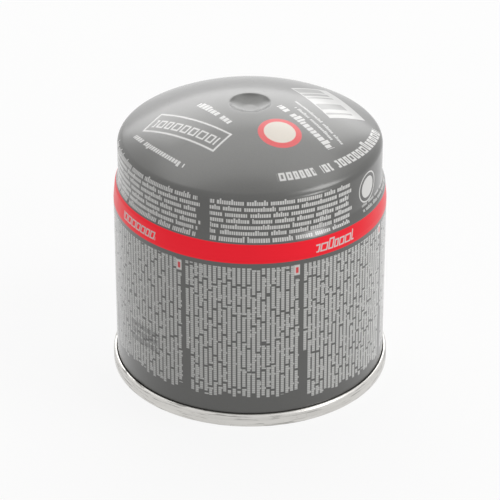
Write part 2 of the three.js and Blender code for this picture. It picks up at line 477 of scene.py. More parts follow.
def place_group():
    """Where a point lies on the canister: millimetres, and degrees from the front to the right."""
    outputs = ("X", "Y", "Height", "Radius", "Azimuth", "Side")
    tree, wiring, _, end = new_group("place on canister", {}, outputs)
    coordinates = wiring.node("ShaderNodeTexCoord").outputs["Object"]
    point = wiring.node("ShaderNodeSeparateXYZ", {"Vector": coordinates}).outputs
    x = wiring.math("MULTIPLY", point["X"], 1 / MM)
    y = wiring.math("MULTIPLY", point["Y"], 1 / MM)
    inward = wiring.math("MULTIPLY", y, -1.0)
    radius = wiring.math("SQRT", wiring.math("ADD", wiring.product(x, x), wiring.product(y, y)))
    turn = wiring.math("ARCTAN2", x, inward)
    wiring.feed(end["X"], x)
    wiring.feed(end["Y"], y)
    wiring.feed(end["Height"], wiring.math("MULTIPLY", point["Z"], 1 / MM))
    wiring.feed(end["Radius"], radius)
    wiring.feed(end["Azimuth"], wiring.math("DEGREES", turn))
    wiring.feed(end["Side"], wiring.math("SINE", turn))
    return tree


def span_group():
    """1 between two values, with soft ends."""
    inputs = {"Value": 0.0, "From": 0.0, "To": 1.0, "Edge": 0.05}
    tree, wiring, start, end = new_group("span", inputs, ("Mask",))
    low = wiring.math("SUBTRACT", start["From"], start["Edge"])
    rise = wiring.step(start["Value"], low, wiring.math("ADD", start["From"], start["Edge"]))
    high = wiring.math("SUBTRACT", start["To"], start["Edge"])
    fall = wiring.step(start["Value"], high, wiring.math("ADD", start["To"], start["Edge"]))
    wiring.feed(end["Mask"], wiring.math("SUBTRACT", rise, fall))
    return tree


def disc_group():
    """1 inside a circle."""
    inputs = {"X": 0.0, "Y": 0.0, "Centre X": 0.0, "Centre Y": 0.0, "Radius": 1.0, "Edge": 0.05}
    tree, wiring, start, end = new_group("disc", inputs, ("Mask",))
    x = wiring.math("SUBTRACT", start["X"], start["Centre X"])
    y = wiring.math("SUBTRACT", start["Y"], start["Centre Y"])
    away = wiring.math("SQRT", wiring.math("ADD", wiring.product(x, x), wiring.product(y, y)))
    low = wiring.math("SUBTRACT", start["Radius"], start["Edge"])
    high = wiring.math("ADD", start["Radius"], start["Edge"])
    wiring.feed(end["Mask"], wiring.math("SUBTRACT", 1.0, wiring.step(away, low, high)))
    return tree


def marks_group(span):
    """One line of print as plain blocks, grouped like words, with no lettering in it.

    A stroke thinner than half a block leaves the blocks hollow.
    """
    inputs = {
        "Along": 0.0,
        "Across": 0.0,
        "Line": 0.0,
        "Height": 1.2,
        "Block": 0.8,
        "Word": 5.0,
        "Gap": 0.18,
        "Space": 0.9,
        "Stroke": SOLID_STROKE,
    }
    tree, wiring, start, end = new_group("print marks", inputs, ("Mask",))
    line_shift = 37.7
    block_spread, word_spread = 0.5, 0.85
    gap_start, gap_end = 0.6, 1.4
    low_top, tall_top, tall_from = 0.24, 0.5, 0.84
    edge_share = 0.05
    shifted = wiring.math("MULTIPLY_ADD", start["Line"], line_shift, start["Along"])

    def cells(place, size, spread, feature):
        values = {"W": wiring.math("DIVIDE", place, size), "Scale": 1.0, "Randomness": spread}
        options = {"voronoi_dimensions": "1D", "feature": feature}
        return wiring.node("ShaderNodeTexVoronoi", values, **options).outputs

    block = cells(shifted, start["Block"], block_spread, "F1")
    edge = cells(shifted, start["Block"], block_spread, "DISTANCE_TO_EDGE")
    away = wiring.math("MULTIPLY", edge["Distance"], start["Block"])
    half = wiring.math("MULTIPLY", start["Gap"], 0.5)
    solid = wiring.step(
        away, wiring.math("MULTIPLY", half, gap_start), wiring.math("MULTIPLY", half, gap_end)
    )

    # A block that falls in the space between two words is left out whole
    centre = wiring.math("MULTIPLY", block["W"], start["Block"])
    word = cells(centre, start["Word"], word_spread, "DISTANCE_TO_EDGE")
    word_edge = wiring.math("MULTIPLY", word["Distance"], start["Word"])
    half_space = wiring.math("MULTIPLY", start["Space"], 0.5)
    solid = wiring.product(solid, wiring.math("GREATER_THAN", word_edge, half_space))

    chance = wiring.node("ShaderNodeSeparateColor", {"Color": block["Color"]}).outputs["Red"]
    tall = wiring.math("GREATER_THAN", chance, tall_from)
    top = wiring.product(start["Height"], wiring.blend(tall, tall_top, low_top))
    bottom = wiring.product(start["Height"], -0.5)
    soft = wiring.math("MULTIPLY", start["Height"], edge_share)
    body = wiring.group(span, Value=start["Across"], From=bottom, To=top, Edge=soft)["Mask"]

    inner_edge = wiring.math("ADD", half, start["Stroke"])
    hole = wiring.step(
        away, wiring.math("SUBTRACT", inner_edge, soft), wiring.math("ADD", inner_edge, soft)
    )
    inner_bottom = wiring.math("ADD", bottom, start["Stroke"])
    inner_top = wiring.math("SUBTRACT", top, start["Stroke"])
    inner_body = wiring.group(
        span, Value=start["Across"], From=inner_bottom, To=inner_top, Edge=soft
    )["Mask"]
    kept = wiring.math("SUBTRACT", 1.0, wiring.product(hole, inner_body))
    wiring.feed(end["Mask"], wiring.product(solid, body, kept))
    return tree


def grain_group():
    """Fine unevenness of a coated or rolled surface: a shade, and a height for bump."""
    inputs = {"Size": 1.0, "Blotch": 12.0, "Stretch": 1.0}
    tree, wiring, start, end = new_group("grain", inputs, ("Fine", "Broad"))
    coordinates = wiring.node("ShaderNodeTexCoord").outputs["Object"]
    point = wiring.node("ShaderNodeSeparateXYZ", {"Vector": coordinates}).outputs
    tall = wiring.math("DIVIDE", point["Z"], start["Stretch"])
    stretched = wiring.node("ShaderNodeCombineXYZ", {"X": point["X"], "Y": point["Y"], "Z": tall})
    for label, size in (("Fine", "Size"), ("Broad", "Blotch")):
        scale = wiring.math("DIVIDE", 1 / MM, start[size])
        noise = wiring.node(
            "ShaderNodeTexNoise",
            {"Vector": stretched.outputs["Vector"], "Scale": scale, "Detail": 3.0},
        )
        wiring.feed(end[label], noise.outputs["Fac"])
    return tree


def handling_group():
    """Sparse hairlines and rubbed spots from handling."""
    inputs = {"Size": 14.0, "Amount": 0.5}
    tree, wiring, start, end = new_group("handling marks", inputs, ("Mask",))
    bend_reach = (0.012, 0.012, 0.012)
    hair_width = 0.012
    rubbed_from, rubbed_to = 0.56, 0.68
    coordinates = wiring.node("ShaderNodeTexCoord").outputs["Object"]
    bend = wiring.node(
        "ShaderNodeTexNoise", {"Vector": coordinates, "Scale": 60.0, "Detail": 2.0}
    )
    warped = wiring.node("ShaderNodeVectorMath", operation="MULTIPLY_ADD")
    wiring.feed(warped.inputs[0], bend.outputs["Color"])
    wiring.feed(warped.inputs[1], bend_reach)
    wiring.feed(warped.inputs[2], coordinates)
    lines = wiring.node(
        "ShaderNodeTexVoronoi",
        {"Vector": warped.outputs[0], "Scale": wiring.math("DIVIDE", 1 / MM, start["Size"])},
        feature="DISTANCE_TO_EDGE",
    )
    hair = wiring.math("SUBTRACT", 1.0, wiring.step(lines.outputs["Distance"], 0.0, hair_width))
    spots = wiring.node(
        "ShaderNodeTexNoise", {"Vector": coordinates, "Scale": 130.0, "Detail": 4.0}
    )
    patchy = wiring.step(spots.outputs["Fac"], rubbed_from, rubbed_to)
    wiring.feed(end["Mask"], wiring.product(hair, patchy, start["Amount"]))
    return tree


class Inks:
    """The groups that the print is made with, and the places of one material's points."""

    def __init__(self, wiring, groups, finishes):
        self.wiring = wiring
        self.groups = groups
        self.at = wiring.group(groups["place"])
        self.colours = {
            name: (*getattr(finishes, name), 1.0)
            for name in ("lacquer", "band", "sign", "white", "pale", "cream", "code")
        }

    def span(self, value, low, high, edge=SOFT_EDGE):
        made = self.wiring.group(self.groups["span"], Value=value, From=low, To=high, Edge=edge)
        return made["Mask"]

    def among(self, number, total):
        """1 for each whole number from 0 that is below the total."""
        return self.span(number, -0.5, total - 0.5, COUNT_EDGE)

    def box(self, along, across, spans, edge=SOFT_EDGE):
        """1 inside a rectangle, given as its two spans."""
        long_way = self.span(along, *spans[0], edge)
        return self.wiring.product(long_way, self.span(across, *spans[1], edge))

    def disc(self, x, y, centre, radius, edge=DISC_EDGE):
        made = self.wiring.group(
            self.groups["disc"],
            X=x,
            Y=y,
            Centre_X=centre[0],
            Centre_Y=centre[1],
            Radius=radius,
            Edge=edge,
        )
        return made["Mask"]

    def marks(self, along, across, line, size, block, word, gap, space, stroke=SOLID_STROKE):
        """One line of blocks: their height, pitch and gap, and the pitch and space of words."""
        made = self.wiring.group(
            self.groups["marks"],
            Along=along,
            Across=across,
            Line=line,
            Height=size,
            Block=block,
            Word=word,
            Gap=gap,
            Space=space,
            Stroke=stroke,
        )
        return made["Mask"]

    def chance(self, seed):
        """An even random number from 0 to 1 for each whole number."""
        made = self.wiring.node("ShaderNodeTexWhiteNoise", {"W": seed}, noise_dimensions="1D")
        return made.outputs["Value"]

    def round_wall(self, radius):
        """Millimetres along the wall from the front towards the right."""
        return self.wiring.math("MULTIPLY", self.at["Azimuth"], math.radians(1) * radius)

    def tilted(self, height, tilt):
        """A height that sinks towards the right, as the slightly crooked print does."""
        return self.wiring.math("MULTIPLY_ADD", self.at["Side"], -tilt, height)

    def rows(self, distance, pitch):
        """Which row of print a distance falls in, and how far it is above the row's middle."""
        row_at = self.wiring.math("DIVIDE", distance, pitch)
        row = self.wiring.math("FLOOR", row_at)
        part = self.wiring.math("SUBTRACT", 0.5, self.wiring.math("FRACT", row_at))
        return row, self.wiring.math("MULTIPLY", part, pitch)

    def local(self, origin, turn):
        """Coordinates along and across a straight line of print on the crown, in plan."""
        plan = self.wiring.node("ShaderNodeCombineXYZ", {"X": self.at["X"], "Y": self.at["Y"]})
        placed = self.wiring.node(
            "ShaderNodeMapping", {"Vector": plan.outputs["Vector"]}, vector_type="TEXTURE"
        )
        placed.inputs["Location"].default_value = (*origin, 0.0)
        placed.inputs["Rotation"].default_value = (0.0, 0.0, math.radians(turn))
        point = self.wiring.node("ShaderNodeSeparateXYZ", {"Vector": placed.outputs["Vector"]})
        return point.outputs["X"], point.outputs["Y"]


# Print, in millimetres and degrees. Azimuths run from the front towards the right.

FULL_TURN = 360.0
LOWER_WALL_RADIUS = 44.0
BAND_RADIUS = 43.6
UPPER_WALL_RADIUS = 42.4
BAND_LOW, BAND_LOW_TILT = 59.47, 0.49
BAND_HIGH, BAND_HIGH_TILT = 65.94, 0.91
CROWN_EDGE_HEIGHT = 81.4

# Columns of small print round the lower wall, and the tag above each
COLUMN_START = -178.1
COLUMN_WIDTH = 49.7
COLUMN_COUNT = 7
COLUMN_GAP = 1.7
COLUMN_LINES = 24
COLUMN_PITCH = (COLUMN_WIDTH - COLUMN_GAP) / COLUMN_LINES
COLUMN_MARKS = {"size": 1.36, "block": 0.74, "word": 8.5, "gap": 0.1, "space": 0.55}
COLUMN_SEED_STEP = 31.0
COLUMN_TOP_MARGIN = 1.6
COLUMN_BOTTOM = 7.8
COLUMN_BOTTOM_SPREAD, LINE_BOTTOM_SPREAD = 3.0, 2.2
LAST_LINE_BOTTOM = 26.0
TAG_ROOM = 5.0
TAG, TAG_EDGE = ((-0.1, 2.5), (54.1, 57.7)), 0.3
TAG_BAR, TAG_BAR_EDGE = ((0.6, 1.8), (54.8, 56.9)), 0.25

# The filling line's print, low on the left
CODE, CODE_EDGE = ((-60.0, -42.0), (19.9, 28.0)), 0.3
CODE_PITCH = 2.7
CODE_MARKS = {"size": 2.5, "block": 1.0, "word": 30.0, "gap": 0.34, "space": 0.5, "stroke": 0.3}
CODE_INK = 0.85

# Blocks of small print round the upper wall, counted from an origin that none of them crosses
BLOCK_SPANS = ((-86.0, -21.0), (-17.0, 48.5), (96.0, 172.0), (180.0, 262.0))
BLOCK_ORIGIN = 98.0
BLOCK_END_SPREAD = 2.5
BLOCK_LINES = 7
BLOCK_PITCH = 2.1
BLOCK_TOP, BLOCK_TILT = 81.0, 0.8
BLOCK_HEIGHTS = (66.4, 81.9)
BLOCK_MARKS = {"size": 1.68, "block": 0.72, "word": 7.5, "gap": 0.17, "space": 0.6}

# Two lines of the smallest print, and the round mark above them
TINY_TOP = 70.2
TINY_PITCH = 1.5
TINY_LINES = 2
TINY_SPAN, TINY_EDGE = (56.0, 88.0), 0.2
TINY_MARKS = {"size": 1.0, "block": 0.55, "word": 5.0, "gap": 0.15, "space": 0.8}

ROUND_MARK = (60.5, 74.2)
ROUND_MARK_RING = (5.2, 4.75)
ROUND_MARK_DARK, ROUND_MARK_INK = 4.5, 0.85
ROUND_MARK_PALE = 3.6

# Hollow blocks on the band
BAND_WORDS = ((-65.5, -42.5), (28.0, 47.5), (112.0, 134.0))
BAND_MARKS_HEIGHT, BAND_MARKS_TILT = 62.7, 0.7
BAND_MARKS_LEAN = 0.25
BAND_MARKS = {
    "line": 3.0, "size": 3.6, "block": 2.4, "word": 90.0, "gap": 0.3, "space": 0.1, "stroke": 0.42,
}

# Lines of blocks that follow the crown's edge
RIM_WORDS = ((13.6, 33.5), (37.5, 43.5), (47.0, 92.0))
RIM_LINE = {
    "middle": 35.2,
    "bow": 0.00055,
    "bow_centre": 0.0,
    "side": 1.0,
    "line": 5.0,
    "size": 3.6,
    "block": 2.15,
    "word": 900.0,
    "stroke": 0.62,
}
ARC_SPAN = (-80.5, -36.0)
ARC_LINE = {
    "middle": 34.5,
    "bow": 0.0028,
    "bow_centre": -50.0,
    "side": -1.0,
    "line": 8.0,
    "size": 1.8,
    "block": 1.15,
    "word": 9.0,
}
ARC_GAP, ARC_SPACE = 0.24, 0.8

# Straight lines of blocks on the crown, each placed in plan by its start
CROWN_LINES = (
    {"ink": "white", "start": (9.5, -1.4), "turn": -48.2, "run": 23.9, "size": 2.9, "block": 1.6},
    {"ink": "pale", "start": (14.5, -1.2), "turn": -50.5, "run": 18.5, "size": 1.2, "block": 0.7},
    {"ink": "pale", "start": (14.6, 3.1), "turn": -52.1, "run": 24.1, "size": 1.2, "block": 0.7},
    {"ink": "white", "start": (-16.0, 1.5), "turn": -53.5, "run": 16.8, "size": 2.5, "block": 1.7},
)
CROWN_FIRST_LINE = 11
CROWN_WORD, CROWN_GAP, CROWN_SPACE = 8, 0.22, 0.7

# Plaque, striped label and sign on the crown
PLAQUE_START, PLAQUE_TURN = (-19.8, -11.6), -41.0
PLAQUE_OUTSIDE = ((-15.0, 15.0), (-4.5, 4.5))
PLAQUE_INSIDE = ((-14.4, 14.4), (-3.9, 3.9))
PLAQUE_WORDS = (-13.2, 13.2)
PLAQUE_MARKS = {
    "line": 2.0, "size": 4.6, "block": 3.4, "word": 90.0, "gap": 0.8, "space": 0.1, "stroke": 0.5,
}

LABEL_START, LABEL_TURN = (23.9, 11.2), 124.5
LABEL, LABEL_EDGE, LABEL_INK = ((-12.6, 8.8), (-7.0, 7.0)), 0.15, 0.68
BARS, BARS_EDGE, BARS_INK = ((-11.4, 8.0), (-3.6, 6.6)), 0.1, 0.7
BAR_WIDTH, BAR_SPREAD, BAR_SHARE = 0.95, 0.7, 0.5

SIGN_CENTRE, SIGN_RADIUS = (9.3, -16.6), 6.85
SIGN_DISC_CENTRE, SIGN_DISC_RADIUS = (9.3, -16.3), 5.0


def column_layers(inks):
    """Columns of small print that read downwards, each with a tag above its first line."""
    wiring, at = inks.wiring, inks.at
    from_start = wiring.math("SUBTRACT", at["Azimuth"], COLUMN_START)
    from_start = wiring.math("FLOORED_MODULO", from_start, FULL_TURN)
    column = wiring.math("FLOOR", wiring.math("DIVIDE", from_start, COLUMN_WIDTH))
    inside = wiring.math("FLOORED_MODULO", from_start, COLUMN_WIDTH)
    from_right = wiring.math("SUBTRACT", COLUMN_WIDTH, inside)
    line, across = inks.rows(from_right, COLUMN_PITCH)
    across = wiring.math("MULTIPLY", across, math.radians(1) * LOWER_WALL_RADIUS)
    seed = wiring.math("MULTIPLY_ADD", column, COLUMN_SEED_STEP, line)
    marks = inks.marks(at["Height"], across, seed, **COLUMN_MARKS)

    line_chance = inks.chance(seed)
    bottom = wiring.math("MULTIPLY_ADD", line_chance, LINE_BOTTOM_SPREAD, COLUMN_BOTTOM)
    bottom = wiring.math("MULTIPLY_ADD", inks.chance(column), COLUMN_BOTTOM_SPREAD, bottom)
    last = wiring.math("GREATER_THAN", line, COLUMN_LINES - 1.5)
    bottom = wiring.blend(last, LAST_LINE_BOTTOM, bottom)
    top = inks.tilted(BAND_LOW - COLUMN_TOP_MARGIN, BAND_LOW_TILT)
    first = wiring.math("LESS_THAN", line, 0.5)
    top = wiring.math("SUBTRACT", top, wiring.math("MULTIPLY", first, TAG_ROOM))
    extent = wiring.product(
        inks.span(at["Height"], bottom, top),
        inks.among(line, COLUMN_LINES),
        inks.among(column, COLUMN_COUNT),
    )
    yield wiring.product(marks, extent), "pale"

    tagged = inks.among(column, COLUMN_COUNT)
    tag = inks.box(from_right, at["Height"], TAG, TAG_EDGE)
    yield wiring.product(tag, tagged), "white"
    tag_bar = inks.box(from_right, at["Height"], TAG_BAR, TAG_BAR_EDGE)
    yield wiring.product(tag_bar, tagged), "sign"

    code_top = CODE[1][1]
    row, across = inks.rows(wiring.math("SUBTRACT", code_top, at["Height"]), CODE_PITCH)
    along = inks.round_wall(LOWER_WALL_RADIUS)
    code = inks.marks(along, across, row, **CODE_MARKS)
    extent = inks.box(at["Azimuth"], at["Height"], CODE, CODE_EDGE)
    yield wiring.product(code, extent, CODE_INK), "code"


def wall_layers(inks):
    """Blocks of small print and the round mark on the upper wall."""
    wiring, at = inks.wiring, inks.at
    top = inks.tilted(BLOCK_TOP, BLOCK_TILT)
    row, across = inks.rows(wiring.math("SUBTRACT", top, at["Height"]), BLOCK_PITCH)
    along = inks.round_wall(UPPER_WALL_RADIUS)
    marks = inks.marks(along, across, row, **BLOCK_MARKS)
    turned = wiring.math("ADD", at["Azimuth"], BLOCK_ORIGIN)
    turned = wiring.math("FLOORED_MODULO", turned, FULL_TURN)
    spans = []
    for low, high in BLOCK_SPANS:
        end = high + BLOCK_ORIGIN
        ragged = wiring.math("MULTIPLY_ADD", inks.chance(row), -BLOCK_END_SPREAD, end)
        spans.append(inks.span(turned, low + BLOCK_ORIGIN, ragged, COUNT_EDGE))
    extent = wiring.product(
        inks.among(row, BLOCK_LINES),
        inks.span(at["Height"], *BLOCK_HEIGHTS),
        wiring.strongest(*spans),
    )
    yield wiring.product(marks, extent), "white"

    top = inks.tilted(TINY_TOP, BAND_HIGH_TILT)
    row, across = inks.rows(wiring.math("SUBTRACT", top, at["Height"]), TINY_PITCH)
    tiny = inks.marks(along, across, row, **TINY_MARKS)
    extent = wiring.product(
        inks.among(row, TINY_LINES), inks.span(at["Azimuth"], *TINY_SPAN, TINY_EDGE)
    )
    yield wiring.product(tiny, extent), "pale"

    azimuth, height = ROUND_MARK
    centre = (math.radians(azimuth) * UPPER_WALL_RADIUS, height)
    outside, inside = (inks.disc(along, at["Height"], centre, r) for r in ROUND_MARK_RING)
    yield wiring.math("SUBTRACT", outside, inside), "white"
    dark = inks.disc(along, at["Height"], centre, ROUND_MARK_DARK)
    yield wiring.product(dark, ROUND_MARK_INK), "code"
    yield inks.disc(along, at["Height"], centre, ROUND_MARK_PALE), "white"


def band_mask(inks):
    low = inks.tilted(BAND_LOW, BAND_LOW_TILT)
    return inks.span(inks.at["Height"], low, inks.tilted(BAND_HIGH, BAND_HIGH_TILT))


def band_layers(inks):
    """The red band round the taper, with plain hollow blocks on it."""
    wiring, at = inks.wiring, inks.at
    yield band_mask(inks), "band"
    middle = inks.tilted(BAND_MARKS_HEIGHT, BAND_MARKS_TILT)
    across = wiring.math("SUBTRACT", at["Height"], middle)
    upright = inks.round_wall(BAND_RADIUS)
    along = wiring.math("MULTIPLY_ADD", across, -BAND_MARKS_LEAN, upright)
    blocks = inks.marks(along, across, **BAND_MARKS)
    spans = (inks.span(at["Azimuth"], *span, COUNT_EDGE) for span in BAND_WORDS)
    yield wiring.product(blocks, wiring.strongest(*spans)), "white"


def arc_blocks(inks, middle, bow, bow_centre, side, line, size, block, word, stroke=SOLID_STROKE):
    """A line of blocks along the crown's edge, bowed away from the axis by its azimuth.

    The blocks' tops point to the axis where side is 1, and away from it where side is -1.
    """
    wiring, at = inks.wiring, inks.at
    off = wiring.math("SUBTRACT", at["Azimuth"], bow_centre)
    radius = wiring.math("MULTIPLY_ADD", wiring.product(off, off), bow, middle)
    across = wiring.math("MULTIPLY", wiring.math("SUBTRACT", radius, at["Radius"]), side)
    gap, space = block * ARC_GAP, block * ARC_SPACE
    along = inks.round_wall(middle)
    return inks.marks(along, across, line, size, block, word, gap, space, stroke)


def crown_layers(inks):
    """Sign, striped label, plaque and lines of blocks on the crown."""
    wiring, at = inks.wiring, inks.at
    on_crown = wiring.math("GREATER_THAN", at["Height"], CROWN_EDGE_HEIGHT)
    rim = arc_blocks(inks, **RIM_LINE)
    spans = (inks.span(at["Azimuth"], *span, BROAD_EDGE) for span in RIM_WORDS)
    yield wiring.product(rim, wiring.strongest(*spans), on_crown), "white"
    arc = arc_blocks(inks, **ARC_LINE)
    extent = inks.span(at["Azimuth"], *ARC_SPAN, BROAD_EDGE)
    yield wiring.product(arc, extent, on_crown), "white"

    for line, values in enumerate(CROWN_LINES, CROWN_FIRST_LINE):
        along, across = inks.local(values["start"], values["turn"])
        block = values["block"]
        word, gap, space = (block * share for share in (CROWN_WORD, CROWN_GAP, CROWN_SPACE))
        marks = inks.marks(along, across, line, values["size"], block, word, gap, space)
        extent = inks.span(along, 0.0, values["run"])
        yield wiring.product(marks, extent, on_crown), values["ink"]

    along, across = inks.local(PLAQUE_START, PLAQUE_TURN)
    plaque = inks.box(along, across, PLAQUE_OUTSIDE, BROAD_EDGE)
    inside = inks.box(along, across, PLAQUE_INSIDE, BROAD_EDGE)
    yield wiring.product(wiring.math("SUBTRACT", plaque, inside), on_crown), "white"
    blocks = inks.marks(along, across, **PLAQUE_MARKS)
    yield wiring.product(blocks, inks.span(along, *PLAQUE_WORDS), on_crown), "white"

    along, across = inks.local(LABEL_START, LABEL_TURN)
    label = inks.box(along, across, LABEL, LABEL_EDGE)
    yield wiring.product(label, on_crown, LABEL_INK), "white"
    bars = wiring.node(
        "ShaderNodeTexVoronoi",
        {
            "W": wiring.math("DIVIDE", along, BAR_WIDTH),
            "Scale": 1.0,
            "Randomness": BAR_SPREAD,
        },
        voronoi_dimensions="1D",
    )
    chance = wiring.node("ShaderNodeSeparateColor", {"Color": bars.outputs["Color"]}).outputs["Red"]
    bar = wiring.math("GREATER_THAN", chance, BAR_SHARE)
    extent = inks.box(along, across, BARS, BARS_EDGE)
    yield wiring.product(bar, extent, on_crown, BARS_INK), "lacquer"

    ring = inks.disc(at["X"], at["Y"], SIGN_CENTRE, SIGN_RADIUS, BROAD_EDGE)
    yield wiring.product(ring, on_crown), "sign"
    disc = inks.disc(at["X"], at["Y"], SIGN_DISC_CENTRE, SIGN_DISC_RADIUS, BROAD_EDGE)
    yield wiring.product(disc, on_crown), "cream"


# Materials

# How metallic each ink is. One that isn't named here is plain paint.
LACQUER_METAL = 0.55
INK_METAL = {"band": 0.7, "lacquer": LACQUER_METAL}
LACQUER_COAT, BAND_COAT = 0.8, 0.1
LACQUER_SCUFFED = 0.2
BAND_RELIEF = 0.5
BUMP_DISTANCE = 0.02 * MM
WORN_SHADE, SCUFF_DEPTH, STREAK_DEPTH = 0.28, 0.75, 0.8
TINPLATE_SCUFFED = 0.25
SEAM_INSIDE = NODE_HIGH.x / MM - 1.0
DUSTY_SHADE = 1.8
FLOOR_GLOW = 0.87


def toned_lacquer(inks):
    """The bare lacquer with its flake and its broad unevenness."""
    wiring = inks.wiring
    tone = wiring.group(inks.groups["grain"], Size=0.5, Blotch=9.0)
    broad = wiring.ranged(tone["Broad"], 0.93, 1.06)
    fine = wiring.ranged(tone["Fine"], 0.9, 1.1)
    return wiring.shaded(inks.colours["lacquer"], wiring.product(broad, fine)), tone


def new_material(name):
    material = bpy.data.materials.new(name)
    material.use_nodes = True
    material.node_tree.nodes.clear()
    wiring = Wiring(material.node_tree)
    output = wiring.node("ShaderNodeOutputMaterial")
    return material, wiring, output.inputs["Surface"]


def printed_lacquer(groups, finishes):
    """Semi-gloss metallic lacquer with all its print.

    Each layer is painted as soon as its mask is made, because the render can hold only so many
    values at once. The print stays out of the bump for the same reason.
    """
    material, wiring, surface = new_material("printed lacquer")
    inks = Inks(wiring, groups, finishes)
    painted, tone = toned_lacquer(inks)
    metallic = LACQUER_METAL
    for make_layers in (column_layers, wall_layers, band_layers, crown_layers):
        for mask, colour_name in make_layers(inks):
            painted = wiring.over(mask, inks.colours[colour_name], painted)
            metallic = wiring.blend(mask, INK_METAL.get(colour_name, 0.0), metallic)

    scuffs = wiring.group(groups["handling"], Size=16.0, Amount=0.5)["Mask"]
    roughness = wiring.ranged(tone["Broad"], 0.3, 0.42)
    roughness = wiring.math("MULTIPLY_ADD", scuffs, LACQUER_SCUFFED, roughness)
    coat = wiring.math("MULTIPLY_ADD", band_mask(inks), BAND_COAT - LACQUER_COAT, LACQUER_COAT)
    relief = wiring.math("MULTIPLY_ADD", band_mask(inks), BAND_RELIEF, tone["Fine"])
    shader = wiring.node(
        "ShaderNodeBsdfPrincipled",
        {
            "Base Color": painted,
            "Roughness": roughness,
            "Metallic": metallic,
            "Coat Weight": coat,
            "Coat Roughness": 0.2,
            "Normal": wiring.bump(relief, 0.12),
        },
    )
    wiring.feed(surface, shader.outputs["BSDF"])
    return material


def bare_tinplate(groups, finishes):
    """Rolled tinplate with fine lines round it, rubbed marks, and streaks on the seam."""
    material, wiring, surface = new_material("bare tinplate")
    lines = wiring.group(groups["grain"], Size=8.0, Blotch=22.0, Stretch=0.05)
    scuffs = wiring.group(groups["handling"], Size=3.6, Amount=1.0)["Mask"]
    radius = wiring.group(groups["place"])["Radius"]
    on_seam = wiring.math("GREATER_THAN", radius, SEAM_INSIDE)
    streaks = wiring.product(wiring.step(lines["Fine"], 0.57, 0.65), on_seam, STREAK_DEPTH)
    scuffs = wiring.strongest(scuffs, streaks)
    metal = (*finishes.tinplate, 1.0)
    metal = wiring.shaded(metal, wiring.ranged(lines["Broad"], 0.76, 1.1))
    worn = (*(c * WORN_SHADE for c in finishes.tinplate), 1.0)
    roughness = wiring.ranged(lines["Fine"], 0.22, 0.4)
    roughness = wiring.math("MULTIPLY_ADD", scuffs, TINPLATE_SCUFFED, roughness)
    normal = wiring.bump(lines["Fine"], 0.25)
    shader = wiring.node(
        "ShaderNodeBsdfPrincipled",
        {
            "Base Color": wiring.over(wiring.product(scuffs, SCUFF_DEPTH), worn, metal),
            "Roughness": roughness,
            "Metallic": 1.0,
            "Normal": normal,
        },
    )
    wiring.feed(surface, shader.outputs["BSDF"])
    return material


def compound_and_shade_finish(groups, finishes):
    """Dull dark rubbery compound, whose darkness is also painted shade in the crevice above the
    seam.
    """
    material, wiring, surface = new_material("sealing compound")
    grain = wiring.group(groups["grain"], Size=0.4, Blotch=5.0)
    # Near-black compound: partly real compound, partly painted shade in the crevice.
    dark = (*finishes.compound, 1.0)
    dusty = (*(min(1.0, c * DUSTY_SHADE) for c in finishes.compound), 1.0)
    roughness = wiring.ranged(grain["Fine"], 0.6, 0.85)
    shader = wiring.node(
        "ShaderNodeBsdfPrincipled",
        {"Base Color": wiring.over(grain["Broad"], dusty, dark), "Roughness": roughness},
    )
    wiring.feed(surface, shader.outputs["BSDF"])
    return material


def seen_rays(wiring):
    """1 for the rays that show a thing, in view, in a reflection or through glass."""
    rays = wiring.node("ShaderNodeLightPath").outputs
    return wiring.strongest(
        rays["Is Camera Ray"], rays["Is Glossy Ray"], rays["Is Transmission Ray"]
    )


def studio_floor_material(finishes):
    """Pale floor that keeps the shadow, reads white to the camera and is clear from below."""
    material, wiring, surface = new_material("studio floor")
    share = wiring.math("MULTIPLY", seen_rays(wiring), FLOOR_GLOW)
    matt = wiring.node("ShaderNodeBsdfDiffuse", {"Color": (*finishes.floor, 1.0)})
    glow = wiring.node("ShaderNodeEmission", {"Color": (1.0, 1.0, 1.0, 1.0), "Strength": 1.0})
    lit = wiring.node("ShaderNodeMixShader", {"Fac": share})
    wiring.feed(lit.inputs[1], matt.outputs["BSDF"])
    wiring.feed(lit.inputs[2], glow.outputs["Emission"])
    below = wiring.node("ShaderNodeNewGeometry").outputs["Backfacing"]
    clear = wiring.node("ShaderNodeBsdfTransparent")
    both = wiring.node("ShaderNodeMixShader", {"Fac": below})
    wiring.feed(both.inputs[1], lit.outputs["Shader"])
    wiring.feed(both.inputs[2], clear.outputs["BSDF"])
    wiring.feed(surface, both.outputs["Shader"])
    return material


def node_groups():
    """The shared node groups, built once."""
    span = bpy.data.node_groups.get("span") or span_group()
    return {
        "span": span,
        "place": bpy.data.node_groups.get("place on canister") or place_group(),
        "disc": bpy.data.node_groups.get("disc") or disc_group(),
        "marks": bpy.data.node_groups.get("print marks") or marks_group(span),
        "grain": bpy.data.node_groups.get("grain") or grain_group(),
        "handling": bpy.data.node_groups.get("handling marks") or handling_group(),
    }


# Studio

LAMPS = {
    "back softbox": {"place": (0.0, 1.34, 0.86), "size": (1.7, 1.1), "power": 10.8},
    "top softbox": {"place": (0.0, 0.55, 1.45), "size": (1.9, 0.8), "power": 6.0},
    "right softbox": {"place": (0.9, -0.15, 1.1), "size": (0.5, 0.5), "power": 4.0},
    "side softbox": {"place": (1.13, -0.82, 0.38), "size": (0.35, 0.45), "power": 3.5},
}
WORLD_STRENGTH = 0.32
FLOOR_REACH = 4.0
FLOOR_DROP = 0.05 * MM
CAMERA_PLACE = (0.0, -0.8, 0.4964)
CAMERA_PITCH = 29.74
FOCAL_PIXELS = 2823.3
PHOTO_PIXELS = 500.0
SENSOR = 36.0


